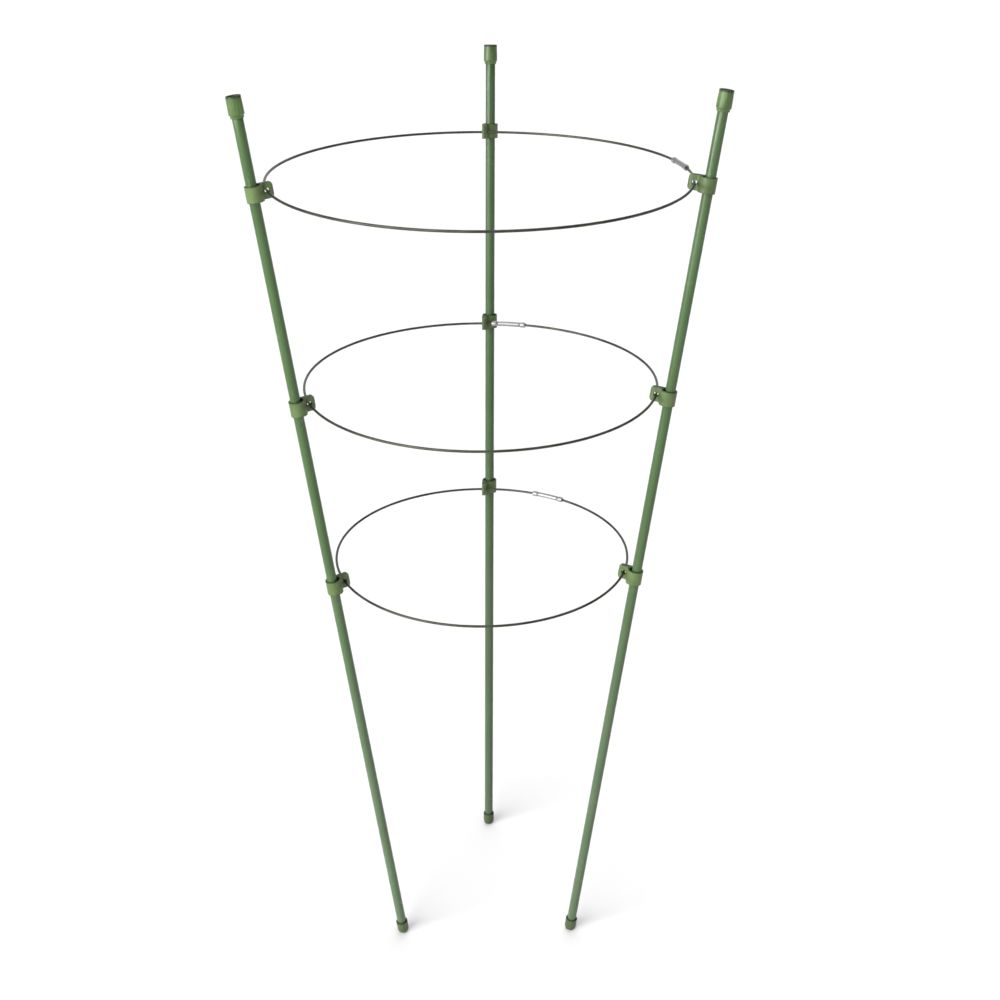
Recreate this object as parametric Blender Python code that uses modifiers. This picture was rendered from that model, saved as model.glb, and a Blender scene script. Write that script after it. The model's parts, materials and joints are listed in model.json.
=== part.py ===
"""Plant support: three leaning stakes, three wire rings and nine moulded clips.

Metres, +Z up. The rings share one vertical axis, and the stakes stand on their foot caps at
Z = 0. Each stake is a steel tube in a plastic coat, closed by a cap at each end. A clip is a
loose collar round a stake with a plate beside it, and the wire of a ring runs through the hole
in the plate. Each ring is one wire, whose two ends meet inside a crimped ferrule. Everything
is placed about the rings' axis first, and then moved as a whole, so that the origin is the
middle of the base.
"""
import math

import bmesh
import bpy
from mathutils import Matrix, Vector

MM = 0.001

# Stakes
STAKE_LENGTH = 750 * MM        # foot tip to top rim, along the stake
STAKE_DIAMETER = 8.0 * MM      # outside the plastic coat
COAT_WALL = 0.5 * MM
TUBE_WALL = 0.6 * MM

# Rings, measured at the middle of the wire
TOP_RING_DIAMETER = 317 * MM
LOWER_RING_DIAMETER = 244 * MM
TOP_RING_HEIGHT = 677 * MM
MIDDLE_RING_HEIGHT = 514 * MM
LOWER_RING_HEIGHT = 360 * MM
WIRE_DIAMETER = 2.0 * MM

# Where each stake passes the rings, as degrees about the axis at the top and the lower ring
STAKE_AZIMUTHS = {
    "left": (201.5, 208.5),
    "right": (352.5, 343.5),
    "back": (90.0, 90.0),
}
# The side of the stake that its clip plates are on, seen from above: 1 is counter-clockwise
CLIP_SIDES = {"left": -1, "right": 1, "back": 1}

# Ferrules, with the place of each round its ring in degrees
FERRULE_AZIMUTHS = {"top": 16.0, "middle": 83.0, "lower": 63.5}
FERRULE_LENGTH = 30 * MM
FERRULE_DIAMETER = 4.0 * MM
BEAD_DIAMETER = 4.7 * MM       # the rolled collar at each end of a ferrule
BEAD_LENGTH = 4.0 * MM
CRIMP_DIAMETER = 3.7 * MM      # the pinched groove behind each bead
WIRE_END_GAP = 1.0 * MM        # between the two ends of the wire, inside the ferrule

# Clips
CLIP_HEIGHT = 11.6 * MM
COLLAR_WALL = 1.1 * MM
PLATE_THICKNESS = 4.2 * MM
HOLE_WEB = 1.5 * MM            # plastic between the collar and the wire hole
NOSE_WEB = 2.8 * MM            # plastic beyond the wire hole
NOSE_RADIUS = 2.6 * MM
PLATE_FILLET = 2.2 * MM        # in the corner between the collar and the plate
CLIP_EDGE = 0.3 * MM           # softened edges

# Top caps
TOP_CAP_LENGTH = 15.2 * MM
TOP_CAP_WALL = 1.35 * MM
TOP_CAP_TAPER = 0.25 * MM      # by which the rim's radius is less than the body's
TOP_CAP_SHOULDER = 0.9 * MM    # height of the slope from the body to the neck
TOP_CAP_NECK = 1.3 * MM        # height of the narrow ring at the lower end
TOP_CAP_NECK_WALL = 0.6 * MM
CAP_WEB = 1.5 * MM             # the floor between the socket and the dish
DISH_DEPTH = 5.5 * MM
RIM_WALL = 0.7 * MM

# Foot caps
FOOT_CAP_LENGTH = 11.6 * MM
FOOT_CAP_WALL = 0.8 * MM
FOOT_CAP_DOME = 3.8 * MM       # height of the rounded end
FOOT_TIP_RADIUS = 2.6 * MM     # the flat at the end
FOOT_FLOOR = 3.2 * MM
MOUTH_DEPTH = 3.0 * MM         # the funnel at the open end
MOUTH_LIP = 0.45 * MM          # wall left at the top of the funnel

# Clearances
COLLAR_PLAY = 1.3 * MM         # collar round stake, on the radius
HOLE_PLAY = 0.9 * MM           # plate hole round wire, on the radius
FERRULE_PLAY = 0.4 * MM        # ferrule round wire, on the radius
SEAT_GAP = 0.3 * MM            # left between pieces that rest on or grip each other
WIRE_SEAT_GAP = 0.5 * MM       # left between a wire and the rim of its hole, for its curve

# Facets
STAKE_SIDES = 24
CAP_SIDES = 24
COLLAR_SIDES = 24
HOLE_SIDES = 18
RING_POINTS = 72
WIRE_BEVEL = 2
FERRULE_BEVEL = 3

STAKES = ("left", "right", "back")
LEVELS = ("top", "middle", "lower")
RING_HEIGHTS = {"top": TOP_RING_HEIGHT, "middle": MIDDLE_RING_HEIGHT, "lower": LOWER_RING_HEIGHT}

# Sizes that follow from the ones above
stake_radius = STAKE_DIAMETER / 2
wire_radius = WIRE_DIAMETER / 2
collar_bore = stake_radius + COLLAR_PLAY
collar_radius = collar_bore + COLLAR_WALL
collar_shift = COLLAR_PLAY - SEAT_GAP          # the rings pull each collar in to its seat
hole_radius = wire_radius + HOLE_PLAY
hole_seat = HOLE_PLAY - WIRE_SEAT_GAP          # the wire lies this far off the hole's centre
clip_reach = collar_shift + collar_radius + HOLE_WEB + hole_radius
nose_reach = clip_reach + hole_radius + NOSE_WEB
plate_outer = -collar_radius
plate_inner = plate_outer + PLATE_THICKNESS
plate_middle = (plate_outer + plate_inner) / 2
top_ring_radius = TOP_RING_DIAMETER / 2
lower_ring_radius = LOWER_RING_DIAMETER / 2
splay = math.atan2(top_ring_radius - lower_ring_radius, TOP_RING_HEIGHT - LOWER_RING_HEIGHT)
stake_offset = clip_reach / math.cos(splay)    # level distance from a wire to its stakes


def polar(radius, degrees, height):
    """A point given by its distance from the Z axis, its direction and its height."""
    angle = math.radians(degrees)
    return Vector((radius * math.cos(angle), radius * math.sin(angle), height))


def azimuth(point):
    """The direction of a point about the Z axis, in degrees."""
    return math.degrees(math.atan2(point.y, point.x))


def stake_axis(stake):
    """The unit vector up a stake, and its foot tip, whose rim just touches the ground."""
    at_top, at_lower = STAKE_AZIMUTHS[stake]
    high = polar(top_ring_radius + stake_offset, at_top, TOP_RING_HEIGHT)
    low = polar(lower_ring_radius + stake_offset, at_lower, LOWER_RING_HEIGHT)
    up = (high - low).normalized()
    tip_height = FOOT_TIP_RADIUS * math.sqrt(1 - up.z ** 2)
    tip = low - up * ((low.z - tip_height) / up.z)
    return up, tip


def axis_at_height(stake, height):
    """The point of a stake's axis at a height."""
    up, tip = stake_axis(stake)
    return tip + up * ((height - tip.z) / up.z)


def ring_radius(level):
    """The middle ring's radius is what the stakes leave between them at its height."""
    if level == "top":
        return top_ring_radius
    if level == "lower":
        return lower_ring_radius
    distances = [axis_at_height(stake, MIDDLE_RING_HEIGHT).xy.length for stake in STAKES]
    return (min(distances) + max(distances)) / 2 - stake_offset


def frame_matrix(origin, x_axis, z_axis):
    """A placement whose Z is z_axis and whose X is x_axis made square to it."""
    z_axis = z_axis.normalized()
    x_axis = (x_axis - z_axis * x_axis.dot(z_axis)).normalized()
    y_axis = z_axis.cross(x_axis)
    turn = Matrix((x_axis, y_axis, z_axis)).transposed().to_4x4()
    return Matrix.Translation(origin) @ turn


def stake_matrix(stake):
    """Local Z runs up the stake from its foot tip, and local X faces the rings' axis."""
    up, tip = stake_axis(stake)
    return frame_matrix(tip, -Vector((tip.x, tip.y, 0)), up)


def clip_matrix(stake, level):
    """Place a clip on its stake's axis, so that the wire lies on its seat in the plate hole."""
    up, tip = stake_axis(stake)
    side = CLIP_SIDES[stake]
    radius = ring_radius(level)
    beside = axis_at_height(stake, RING_HEIGHTS[level])
    inward = -Vector((beside.x, beside.y, 0))
    rough = frame_matrix(beside, inward, up)
    to_plate = math.degrees(plate_middle / radius)
    wire = polar(radius, azimuth(beside) - side * to_plate, RING_HEIGHTS[level])
    local = rough.inverted() @ wire
    off_centre = local.x - clip_reach
    rise = local.z + math.sqrt(max(hole_seat ** 2 - off_centre ** 2, 0))
    placed = frame_matrix(beside + up * rise, inward, up)
    if side < 0:
        placed = placed @ Matrix.Rotation(math.pi, 4, "X")
    return placed


def new_collection(name):
    collection = bpy.data.collections.new(name)
    bpy.context.scene.collection.children.link(collection)
    return collection


def new_material(name, colour, roughness, metallic=0.0):
    material = bpy.data.materials.new(name)
    material.use_nodes = True
    shader = material.node_tree.nodes["Principled BSDF"]
    shader.inputs["Base Color"].default_value = (*colour, 1)
    shader.inputs["Roughness"].default_value = roughness
    shader.inputs["Metallic"].default_value = metallic
    return material


def new_object(name, data, collection, matrix=None, parent=None):
    item = bpy.data.objects.new(name, data)
    collection.objects.link(item)
    if parent is not None:
        item.parent = parent
    if matrix is not None:
        item.matrix_world = matrix
    return item


def new_empty(name, collection, matrix, parent=None):
    empty = new_object(name, None, collection, parent=parent)
    empty.empty_display_size = 0.03
    bpy.context.view_layer.update()
    empty.matrix_world = matrix
    bpy.context.view_layer.update()
    return empty


def evaluated_mesh(item, name):
    """The mesh that an object shows after its modifiers, with loose caps welded."""
    bpy.context.view_layer.update()
    shown = item.evaluated_get(bpy.context.evaluated_depsgraph_get())
    mesh = bpy.data.meshes.new_from_object(shown)
    mesh.name = name
    shape = bmesh.new()
    shape.from_mesh(mesh)
    bmesh.ops.remove_doubles(shape, verts=shape.verts, dist=0.000002)
    bmesh.ops.recalc_face_normals(shape, faces=shape.faces)
    shape.to_mesh(mesh)
    shape.free()
    return mesh


def take_mesh(item, name):
    """Keep what an object shows and remove the object."""
    mesh = evaluated_mesh(item, name)
    bpy.data.objects.remove(item)
    return mesh


def shade_round(mesh, material):
    mesh.materials.clear()
    mesh.materials.append(material)
    mesh.shade_smooth()
    mesh.set_sharp_from_angle(angle=math.radians(35))
    return mesh


def turned_mesh(name, profile, sides, closed):
    """Turn a profile of (radius, height) points about Z. It runs down its outer side."""
    mesh = bpy.data.meshes.new(name)
    shape = bmesh.new()
    points = [shape.verts.new((radius, 0, height)) for radius, height in profile]
    for first, second in zip(points, points[1:]):
        shape.edges.new((first, second))
    if closed:
        shape.edges.new((points[-1], points[0]))
    shape.to_mesh(mesh)
    shape.free()
    item = bpy.data.objects.new(name, mesh)
    bpy.context.scene.collection.objects.link(item)
    screw = item.modifiers.new("turn", "SCREW")
    screw.axis = "Z"
    screw.angle = math.tau
    screw.steps = sides
    screw.render_steps = sides
    screw.use_merge_vertices = True
    screw.merge_threshold = 0.000001
    return take_mesh(item, name)


def arc_points(centre, radius, start, end, count):
    """Points along an arc in a plane, from one angle to another in degrees."""
    points = []
    for step in range(count + 1):
        angle = math.radians(start + (end - start) * step / count)
        points.append((centre[0] + radius * math.cos(angle), centre[1] + radius * math.sin(angle)))
    return points


def flat_mesh(name, outlines, half_depth, matrix=None):
    """Extrude flat outlines both ways along Z. An outline inside another is a hole."""
    curve = bpy.data.curves.new(name, "CURVE")
    curve.dimensions = "2D"
    curve.fill_mode = "BOTH"
    curve.extrude = half_depth
    for outline in outlines:
        spline = curve.splines.new("POLY")
        spline.points.add(len(outline) - 1)
        for point, (x, y) in zip(spline.points, outline):
            point.co = (x, y, 0, 1)
        spline.use_cyclic_u = True
    item = bpy.data.objects.new(name, curve)
    bpy.context.scene.collection.objects.link(item)
    mesh = take_mesh(item, name)
    if matrix is not None:
        mesh.transform(matrix)
    return mesh


def swept_curve(name, points, radii, half_width, bevel_resolution):
    """A round bar along a list of points, thicker or thinner by a factor at each point."""
    curve = bpy.data.curves.new(name, "CURVE")
    curve.dimensions = "3D"
    curve.twist_mode = "Z_UP"
    curve.bevel_depth = half_width
    curve.bevel_resolution = bevel_resolution
    curve.use_fill_caps = True
    spline = curve.splines.new("POLY")
    spline.points.add(len(points) - 1)
    for point, place, factor in zip(spline.points, points, radii):
        point.co = (*place, 1)
        point.radius = factor
    return curve


def add_boolean(item, cutter, operation):
    cut = item.modifiers.new(cutter.name, "BOOLEAN")
    cut.operation = operation
    cut.solver = "EXACT"
    cut.object = cutter


def new_cutter(name, mesh, cutters):
    cutter = new_object(name, mesh, cutters)
    cutter.hide_render = True
    cutter.display_type = "WIRE"
    return cutter


def coat_ends():
    """How far along the stake its tube and coat reach, from the foot tip."""
    return FOOT_FLOOR + SEAT_GAP, STAKE_LENGTH - DISH_DEPTH - CAP_WEB - SEAT_GAP


def pipe_mesh(name, outer, inner):
    """A pipe that fills the stake's length between the caps."""
    low, high = coat_ends()
    profile = [(outer, high), (outer, low), (inner, low), (inner, high)]
    return turned_mesh(name, profile, STAKE_SIDES, closed=True)


def top_cap_mesh():
    """A tapered sleeve over the stake's end, with a neck below and a dish above its floor."""
    socket = stake_radius + SEAT_GAP
    body = socket + TOP_CAP_WALL
    neck = socket + TOP_CAP_NECK_WALL
    rim = body - TOP_CAP_TAPER
    rim_edge = RIM_WALL * 0.4
    top = STAKE_LENGTH
    bottom = top - TOP_CAP_LENGTH
    dish_floor = top - DISH_DEPTH
    profile = [
        (0, dish_floor),
        (rim - RIM_WALL - rim_edge, dish_floor),
        (rim - RIM_WALL, dish_floor + rim_edge),
        (rim - RIM_WALL, top - rim_edge / 2),
        (rim - RIM_WALL + rim_edge / 2, top),
        (rim - rim_edge, top),
        (rim, top - rim_edge),
        (body, bottom + TOP_CAP_NECK + TOP_CAP_SHOULDER + TOP_CAP_LENGTH / 5),
        (body, bottom + TOP_CAP_NECK + TOP_CAP_SHOULDER),
        (neck, bottom + TOP_CAP_NECK),
        (neck, bottom),
        (socket, bottom),
        (socket, dish_floor - CAP_WEB),
        (0, dish_floor - CAP_WEB),
    ]
    return turned_mesh("top_cap", profile, CAP_SIDES, closed=False)


def foot_cap_mesh():
    """A thimble with a funnel mouth, a rounded end and a small flat tip."""
    socket = stake_radius + SEAT_GAP
    outer = socket + FOOT_CAP_WALL
    top = FOOT_CAP_LENGTH
    lip = MOUTH_LIP * 0.4
    profile = [
        (0, FOOT_FLOOR),
        (socket, FOOT_FLOOR),
        (socket, top - MOUTH_DEPTH),
        (outer - MOUTH_LIP, top),
        (outer - lip, top),
        (outer, top - lip),
    ]
    for step in range(6):
        angle = math.radians(90 * step / 5)
        radius = FOOT_TIP_RADIUS + (outer - FOOT_TIP_RADIUS) * math.cos(angle)
        profile.append((radius, FOOT_CAP_DOME * (1 - math.sin(angle))))
    profile.append((0, 0))
    return turned_mesh("foot_cap", profile, CAP_SIDES, closed=False)


def clip_plan():
    """The clip seen along the stake: a round collar and a plate along one side of it."""
    centre = (collar_shift, 0)
    fillet_y = plate_inner + PLATE_FILLET
    reach = collar_radius + PLATE_FILLET
    fillet_x = collar_shift + math.sqrt(reach ** 2 - fillet_y ** 2)
    meet = math.degrees(math.atan2(fillet_y, fillet_x - collar_shift))
    sweep_steps = round(COLLAR_SIDES * (270 - meet) / 360)
    beyond = nose_reach + NOSE_WEB
    outline = [(beyond, plate_outer), (beyond, plate_inner)]
    outline += arc_points((fillet_x, fillet_y), PLATE_FILLET, 270, 180 + meet, 4)
    outline += arc_points(centre, collar_radius, meet, 270, sweep_steps)[1:]
    bore = arc_points(centre, collar_bore, 0, 360, COLLAR_SIDES)[:-1]
    return [outline, bore]


def clip_side():
    """The clip seen along the wire: square to the nose, whose corners are round."""
    half = CLIP_HEIGHT / 2
    corner = nose_reach - NOSE_RADIUS
    back = collar_shift - collar_radius * 1.5
    outline = [(back, -half)]
    outline += arc_points((corner, NOSE_RADIUS - half), NOSE_RADIUS, -90, 0, 4)
    outline += arc_points((corner, half - NOSE_RADIUS), NOSE_RADIUS, 0, 90, 4)
    outline.append((back, half))
    hole = arc_points((clip_reach, 0), hole_radius, 0, 360, HOLE_SIDES)[:-1]
    return [outline, hole]


def clip_mesh():
    """What the clip's plan and its side view have in common, with soft edges."""
    upright = Matrix.Rotation(math.pi / 2, 4, "X")
    plan = flat_mesh("clip", clip_plan(), CLIP_HEIGHT / 2 * 1.2)
    side = flat_mesh("clip_side", clip_side(), collar_radius * 1.5, upright)
    body = bpy.data.objects.new("clip_body", plan)
    outline = bpy.data.objects.new("clip_outline", side)
    for item in (body, outline):
        bpy.context.scene.collection.objects.link(item)
    add_boolean(body, outline, "INTERSECT")
    soften = body.modifiers.new("soft_edges", "BEVEL")
    soften.width = CLIP_EDGE
    soften.segments = 1
    soften.limit_method = "ANGLE"
    soften.angle_limit = math.radians(40)
    mesh = take_mesh(body, "clip")
    bpy.data.objects.remove(outline)
    return mesh


def ring_curve(level):
    """A wire bent once round the axis, with its ends apart inside the ferrule."""
    radius = ring_radius(level)
    half_gap = math.degrees(WIRE_END_GAP / 2 / radius)
    start = FERRULE_AZIMUTHS[level] + half_gap
    end = FERRULE_AZIMUTHS[level] + 360 - half_gap
    points = []
    for step in range(RING_POINTS + 1):
        points.append(polar(radius, start + (end - start) * step / RING_POINTS, 0))
    factors = [1.0] * len(points)
    return swept_curve("ring_" + level, points, factors, wire_radius, WIRE_BEVEL)


def ferrule_profile():
    """Places along a ferrule from its middle, each with its radius there."""
    half = FERRULE_LENGTH / 2
    body = FERRULE_DIAMETER / 2
    bead = BEAD_DIAMETER / 2
    crimp = CRIMP_DIAMETER / 2
    lead = BEAD_LENGTH / 5
    right = [
        (0, body),
        (half * 0.3, body),
        (half - BEAD_LENGTH - 3 * lead, body),
        (half - BEAD_LENGTH - 2 * lead, crimp),
        (half - BEAD_LENGTH - lead, crimp),
        (half - BEAD_LENGTH, bead),
        (half - lead, bead),
        (half, crimp),
    ]
    left = [(-place, radius) for place, radius in reversed(right[1:])]
    return left + right


def ferrule_mesh(level, cutters):
    """A rolled sleeve that follows the ring's curve, bored for the wire."""
    radius = ring_radius(level)
    middle = FERRULE_AZIMUTHS[level]
    profile = ferrule_profile()
    points = [polar(radius, middle + math.degrees(place / radius), 0) for place, width in profile]
    factors = [width / (FERRULE_DIAMETER / 2) for place, width in profile]
    name = "ferrule_" + level
    outside = swept_curve(name, points, factors, FERRULE_DIAMETER / 2, FERRULE_BEVEL)
    sleeve = bpy.data.objects.new(name, outside)
    bpy.context.scene.collection.objects.link(sleeve)
    mesh = take_mesh(sleeve, name)
    bore_points = []
    bore_half = math.degrees(FERRULE_LENGTH * 0.6 / radius)
    for step in range(9):
        bore_points.append(polar(radius, middle + bore_half * (step - 4) / 4, 0))
    bore_width = wire_radius + FERRULE_PLAY
    bore_curve = swept_curve(name + "_bore", bore_points, [1.0] * 9, bore_width, FERRULE_BEVEL)
    bore = bpy.data.objects.new(name + "_bore", bore_curve)
    bpy.context.scene.collection.objects.link(bore)
    return mesh, new_cutter(name + "_bore", take_mesh(bore, name + "_bore"), cutters)


def base_centre(collection):
    """The middle of the space that a collection's pieces take up, at the height of its base."""
    bpy.context.view_layer.update()
    depsgraph = bpy.context.evaluated_depsgraph_get()
    corners = []
    for item in collection.objects:
        if item.type == "EMPTY":
            continue
        shown = item.evaluated_get(depsgraph)
        mesh = shown.to_mesh()
        corners += [item.matrix_world @ vertex.co for vertex in mesh.vertices]
        shown.to_mesh_clear()
    middle = [(min(c[i] for c in corners) + max(c[i] for c in corners)) / 2 for i in (0, 1)]
    return Vector((*middle, min(corner.z for corner in corners)))


def build():
    for item in list(bpy.data.objects):
        bpy.data.objects.remove(item)
    support = new_collection("plant_support")
    cutters = new_collection("cutters")

    coat_green = new_material("coat_green", (0.133, 0.262, 0.120), 0.38)
    cap_green = new_material("cap_green", (0.150, 0.255, 0.090), 0.42)
    clip_green = new_material("clip_green", (0.165, 0.262, 0.105), 0.48)
    wire_steel = new_material("wire_steel", (0.110, 0.110, 0.110), 0.38, 0.9)
    tube_steel = new_material("tube_steel", (0.420, 0.420, 0.430), 0.45, 1.0)
    ferrule_silver = new_material("ferrule_silver", (0.720, 0.720, 0.730), 0.30, 1.0)

    coat_inner = stake_radius - COAT_WALL
    tube_outer = coat_inner - SEAT_GAP
    coat = shade_round(pipe_mesh("stake_coat", stake_radius, coat_inner), coat_green)
    tube = shade_round(pipe_mesh("steel_tube", tube_outer, tube_outer - TUBE_WALL), tube_steel)
    top_cap = shade_round(top_cap_mesh(), cap_green)
    foot_cap = shade_round(foot_cap_mesh(), cap_green)
    clip = shade_round(clip_mesh(), clip_green)

    ring_axis = new_empty("ring_axis", support, Matrix.Identity(4))
    for stake in STAKES:
        placed = stake_matrix(stake)
        stake_empty = new_empty(stake + "_stake_axis", support, placed, ring_axis)
        new_object("steel_tube_" + stake, tube, support, placed, stake_empty)
        new_object("stake_coat_" + stake, coat, support, placed, stake_empty)
        new_object("top_cap_" + stake, top_cap, support, placed, stake_empty)
        new_object("foot_cap_" + stake, foot_cap, support, placed, stake_empty)
        clips_empty = new_empty(stake + "_clips_axis", support, Matrix.Identity(4), ring_axis)
        for level in LEVELS:
            name = "clip_" + level + "_" + stake
            new_object(name, clip, support, clip_matrix(stake, level), clips_empty)

    for level in LEVELS:
        placed = Matrix.Translation((0, 0, RING_HEIGHTS[level]))
        curve = ring_curve(level)
        curve.materials.append(wire_steel)
        new_object("ring_" + level, curve, support, placed, ring_axis)
        mesh, bore = ferrule_mesh(level, cutters)
        ferrule = new_object("ferrule_" + level, mesh, support, placed, ring_axis)
        shade_round(mesh, ferrule_silver)
        bore.parent = ferrule
        add_boolean(ferrule, bore, "DIFFERENCE")

    ring_axis.location = -base_centre(support)


build()
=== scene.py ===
"""The looks of a garden plant support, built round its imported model.

Three plastic-coated stakes with moulded caps carry three wire rings. The rings run through
moulded clips on the stakes, and each is closed by a metal ferrule. A piece is modelled in
millimetres in its own place, and fit() then brings it to metres and to its place in the frame.
"""
import json
import math

import bpy
from bpy.props import FloatProperty, FloatVectorProperty, IntProperty, PointerProperty
from mathutils import Matrix, Vector


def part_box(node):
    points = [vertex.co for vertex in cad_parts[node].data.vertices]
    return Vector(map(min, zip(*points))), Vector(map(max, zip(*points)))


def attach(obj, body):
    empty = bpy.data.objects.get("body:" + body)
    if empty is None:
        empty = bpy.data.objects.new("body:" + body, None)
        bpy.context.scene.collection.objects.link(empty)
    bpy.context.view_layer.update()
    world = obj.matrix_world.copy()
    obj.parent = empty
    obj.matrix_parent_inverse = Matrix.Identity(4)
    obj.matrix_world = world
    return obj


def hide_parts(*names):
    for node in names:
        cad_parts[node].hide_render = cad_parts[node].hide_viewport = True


bl_info = {
    "name": "Plant support looks",
    "version": (1, 0, 0),
    "blender": (4, 5, 0),
    "location": "View3D > Sidebar > Support",
    "description": "Stakes, caps, clips, wire rings and ferrules of a plant support",
    "category": "Object",
}

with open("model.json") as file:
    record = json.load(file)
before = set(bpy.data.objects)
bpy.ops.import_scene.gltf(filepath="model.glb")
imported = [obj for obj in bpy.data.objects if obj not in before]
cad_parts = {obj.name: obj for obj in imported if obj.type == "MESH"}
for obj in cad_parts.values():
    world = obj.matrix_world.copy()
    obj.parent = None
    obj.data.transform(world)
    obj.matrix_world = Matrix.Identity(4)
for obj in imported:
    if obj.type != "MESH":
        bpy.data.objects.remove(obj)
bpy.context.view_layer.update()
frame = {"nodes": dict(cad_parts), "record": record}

MM = 0.001
STAKES = ("left", "right", "back")
LEVELS = ("top", "middle", "lower")
MOUNTS = {mount["name"]: mount for mount in frame["record"]["mounts"]}
JOINTS = {joint["name"]: joint for joint in frame["record"]["behaviour"]["joints"]}
OWN_PLACE = "own_place"
OWN_PAINTED_SHADE = "own_tone"

# Painted shade: each piece's copy of the one plastic is darkened by a factor on its colour
STAKE_PAINTED_SHADES = {"left": 1.0, "right": 0.86, "back": 0.72}
CLIP_PAINTED_SHADES = {
    "left": {"top": 1.0, "middle": 0.84, "lower": 0.92},
    "right": {"top": 0.66, "middle": 0.74, "lower": 0.88},
    "back": {"top": 0.72, "middle": 0.66, "lower": 0.72},
}

SMOOTH = math.radians(40)   # edges flatter than this are shaded smooth

# Sizes that a user wouldn't change, in millimetres
WELD = 0.002            # vertices closer than this are one
TOUCH = 0.01            # spots closer than this are at one place
COAT_START = 3.5        # above the foot tip
COAT_END = 7.3          # below the upper rim
COAT_LOOPS = 24
SOCKET_PLAY = 0.3       # between a stake and the socket of a cap
MOUTH = 4.7             # radius inside the rim of both kinds of cap
FOOT_CAP_HEIGHT = 11.6

# How finely what is round is cut into facets
DOME_STEPS = 14
NOSE_STEPS = 10
COLLAR_STEPS = 96
WIRE_HOLE_STEPS = 48
WIRE_STEPS = 16
FERRULE_STEPS = 40

# What soils and rubs the coats, with a painted reflection of the pale floor on their lower part
SOIL_AND_FLOOR_REFLECTION = (0.122, 0.158, 0.115, 1)
SOIL_AND_REFLECTION_HEIGHTS = (480, 140)   # where it starts and where it is full, in millimetres
DUST = (0.24, 0.30, 0.21, 1)
RUBBED = (0.20, 0.28, 0.17, 1)
RUB_REACH = (22, 8)         # from a ring, likewise
STEEL_SHADES = ((0.30, 0.30, 0.31, 1), (0.48, 0.48, 0.50, 1))
PLASTIC_SPECULAR = 0.35

# Each light's direction from the front to the right, its elevation and its spread, in degrees
LIGHTS = {
    "key": (-38, 18, 56),
    "strip": (-62, 4, 18),
    "top": (120, 84, 60),
    "back": (180, 30, 70),
}
LIGHT_DISTANCE = 2
HORIZON = (0.10, 0.16)      # sines of the elevations between which the room's white fades
FLOOR_SIZE = 60
FLOOR_DROP = 0.0002         # below the feet, in metres
CAMERA_PLACE = (0.0522, -1.0521, 0.9157)
CAMERA_TURN = (math.radians(90 - 25.97), 0, math.radians(2.32))
CAMERA_SENSOR = 36
CAMERA_REACH = 100


# Where things are


def ring_centre(level):
    """The middle of a ring, on the rings' common axis."""
    low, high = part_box("ring_" + level)
    axis = JOINTS[level + "_ring_turn"]["pos_m"]
    return Vector((axis[0], axis[1], (low[2] + high[2]) / 2))


def stake_line(stake):
    """The foot tip of a stake and the unit vector up it."""
    foot = MOUNTS["foot_" + stake]
    return Vector(foot["pos_m"]), -Vector(foot["axis"]).normalized()


def frame_matrix(origin, x_axis, z_axis):
    """A placement whose Z is z_axis and whose X is x_axis made square to it."""
    z_axis = z_axis.normalized()
    x_axis = (x_axis - z_axis * x_axis.dot(z_axis)).normalized()
    turned = Matrix((x_axis, z_axis.cross(x_axis), z_axis)).transposed().to_4x4()
    return Matrix.Translation(origin) @ turned


def stake_matrix(stake):
    """Local Z runs up the stake from its foot tip, and local X faces the rings' axis."""
    tip, up = stake_line(stake)
    inward = ring_centre("lower") - tip
    return frame_matrix(tip, Vector((inward.x, inward.y, 0)), up)


def clip_matrix(stake, level):
    """Local origin on the stake's axis at the clip's middle, and local X faces the rings' axis.

    The clips on the left stake are turned over, which puts their plates on the other side.
    """
    tip, up = stake_line(stake)
    centre = ring_centre(level)
    packed = frame["nodes"]["clip_%s_%s" % (level, stake)]
    heights = [vertex.co.dot(up) for vertex in packed.data.vertices]
    middle = tip + up * ((min(heights) + max(heights)) / 2 - tip.dot(up))
    beside = tip + up * ((centre.z - tip.z) / up.z)
    placed = frame_matrix(middle, Vector((centre.x - beside.x, centre.y - beside.y, 0)), up)
    if stake == "left":
        placed = placed @ Matrix.Rotation(math.pi, 4, "X")
    return placed


def ferrule_azimuth(level):
    """The direction of a ferrule from the rings' axis."""
    centre = ring_centre(level)
    low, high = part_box("ferrule_" + level)
    return math.atan2((low[1] + high[1]) / 2 - centre.y, (low[0] + high[0]) / 2 - centre.x)


def ring_radius(level):
    """The radius of a ring at the middle of its wire."""
    low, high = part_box("ring_" + level)
    return (high[1] - low[1]) / 2 - (high[2] - low[2]) / 2


def ring_matrix(level, angle):
    """Local Z is the rings' axis, and local X is turned by an angle from the frame's."""
    return Matrix.Translation(ring_centre(level)) @ Matrix.Rotation(angle, 4, "Z")


# Modelling by hand


def trace(points):
    """Extrude one vertex from point to point, and stay in edit mode."""
    bpy.ops.object.select_all(action="DESELECT")
    bpy.ops.mesh.primitive_plane_add(size=1)
    piece = bpy.context.object
    bpy.ops.object.mode_set(mode="EDIT")
    bpy.ops.mesh.select_mode(type="VERT")
    bpy.ops.mesh.select_all(action="SELECT")
    bpy.ops.mesh.merge(type="CENTER")
    bpy.ops.transform.translate(value=points[0])
    for here, there in zip(points, points[1:]):
        bpy.ops.mesh.extrude_region_move(TRANSFORM_OT_translate={"value": there - here})
    return piece


def turn(profile, steps):
    """Spin a profile of (radius, height) points round the Z axis."""
    piece = trace([Vector((radius, 0, height)) for radius, height in profile])
    bpy.ops.mesh.select_all(action="SELECT")
    bpy.ops.mesh.spin(steps=steps, dupli=False, angle=math.tau, center=(0, 0, 0), axis=(0, 0, 1))
    tidy_mesh()
    return piece


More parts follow.
